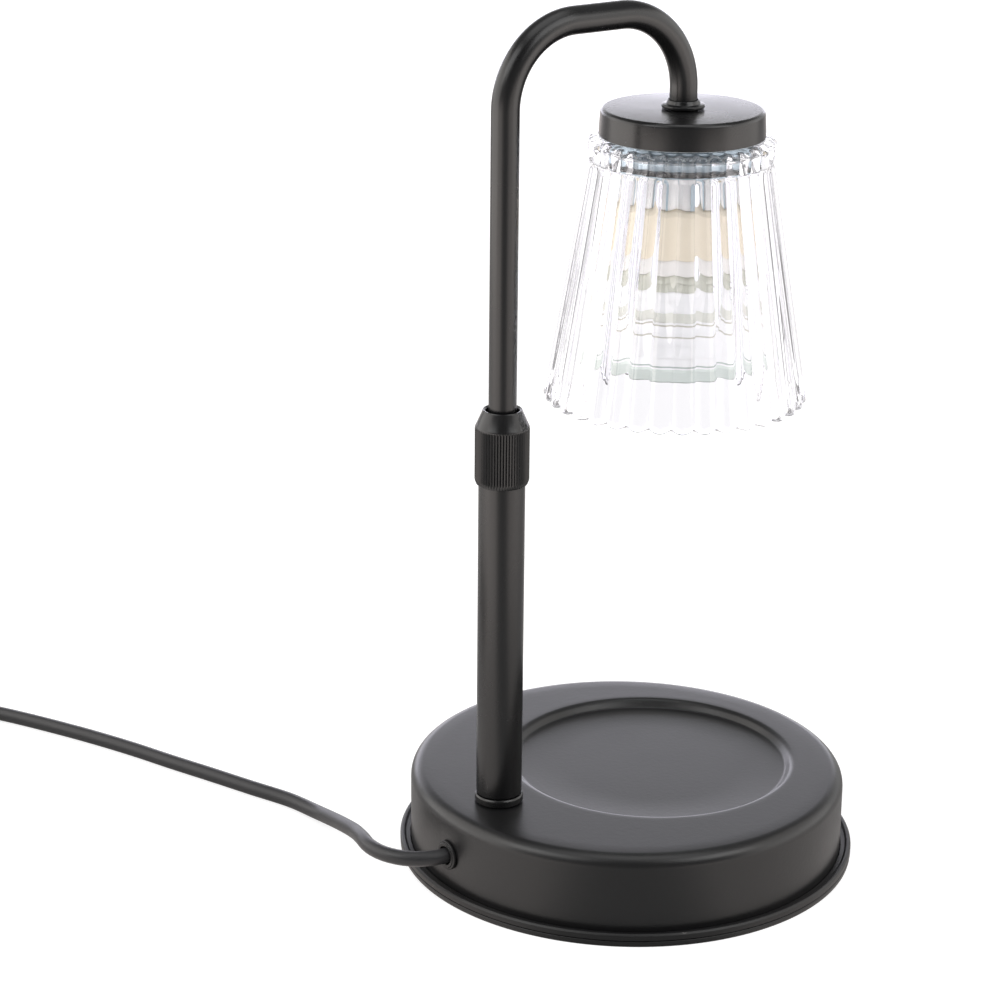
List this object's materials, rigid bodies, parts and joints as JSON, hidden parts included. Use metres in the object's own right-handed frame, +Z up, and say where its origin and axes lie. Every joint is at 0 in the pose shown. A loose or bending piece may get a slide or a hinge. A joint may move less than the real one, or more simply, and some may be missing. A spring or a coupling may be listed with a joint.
{
  "type": "candle warmer lamp",
  "caption": "Candle warmer lamp: weighted round base with a candle dish, telescopic post with knurled lock collar, bent arm, fluted glass shade over a reflector bulb, mains cord with dimmer.",
  "frame": {"origin": "middle of the round base, on the table", "axes": "+Z up from the table; the post stands on the -X side and the arm reaches towards +X; +Y completes the right-handed frame"},
  "size_m": [0.3635, 0.3127, 0.2723],
  "materials": {
    "black_paint": "satin black powder coat with a fine grain",
    "black_rubber": "matt black rubber",
    "black_flex": "black sheathed flex",
    "black_plastic": "fine grained black moulding",
    "zinc_steel": "zinc plated steel",
    "cast_iron": "as cast",
    "brass": "bright turned brass",
    "white_nylon": "natural nylon",
    "cream_ceramic": "cream ceramic, opaque",
    "clear_glass": "clear pressed glass",
    "bulb_glass": "clear and faceted bulb glass",
    "circuit_board": "green circuit board"
  },
  "bodies": {
    "base": {"foot_ring": "black_rubber", "base_shell": "black_paint", "base_plate": "zinc_steel", "ballast_weight": "cast_iron", "dish_boss": "zinc_steel", "centre_bolt": "zinc_steel", "post_washer": "zinc_steel", "post_nut": "zinc_steel", "threaded_rod": "zinc_steel", "foot_collar": "black_paint", "post_plug": "zinc_steel", "post_tube": "black_paint", "clamp_collet": "brass", "post_lead": "black_flex", "grommet": "black_rubber", "terminal_block": "white_nylon", "terminal_screw_1": "brass", "terminal_screw_2": "brass", "cord_lead": "black_flex", "cord_link": "black_flex", "cord_tail": "black_flex", "cord_coil": "black_flex", "cord_tie": "black_rubber", "dimmer_base": "black_plastic", "dimmer_cover": "black_plastic", "dimmer_relief_in": "black_rubber", "dimmer_relief_out": "black_rubber", "dimmer_board": "circuit_board", "plug_body": "black_rubber", "plug_blade_1": "brass", "plug_blade_2": "brass"},
    "collar": {"lock_collar": "black_paint"},
    "guide": {"guide_bush": "white_nylon"},
    "arm": {"arm_tube": "black_paint", "arm_end_ring": "zinc_steel", "arm_stop_ring": "zinc_steel", "arm_lead": "black_flex", "neck_ring": "black_paint", "shade_cap": "black_paint", "arm_nut": "zinc_steel", "holder_cup": "zinc_steel", "lampholder": "cream_ceramic", "shade_ring": "zinc_steel", "glass_shade": "clear_glass", "bulb_base": "cream_ceramic", "bulb_pin_1": "zinc_steel", "bulb_pin_2": "zinc_steel", "bulb_reflector": "bulb_glass", "bulb_lens": "bulb_glass", "bulb_capsule": "bulb_glass"},
    "wheel": {"dimmer_wheel": "black_plastic"}
  },
  "joints": [
    {"name": "lock_collar_turn", "type": "hinge", "parent": "base", "child": "collar", "pos_m": [-0.05, 0, 0.143], "axis": [0, 0, 1], "range_deg": [0, 120]},
    {"name": "arm_slide", "type": "slide", "parent": "base", "child": "guide", "axis": [0, 0, 1], "range_m": [-0.022, 0.058], "deforming": ["post_lead"]},
    {"name": "arm_swivel", "type": "hinge", "parent": "guide", "child": "arm", "pos_m": [-0.05, 0, 0.14], "axis": [0, 0, 1], "range_deg": [-90, 90]},
    {"name": "dimmer_turn", "type": "hinge", "parent": "base", "child": "wheel", "pos_m": [-0.208, 0.2294, 0.009], "axis": [0, 0, 1], "range_deg": [0, 270]}
  ]
}
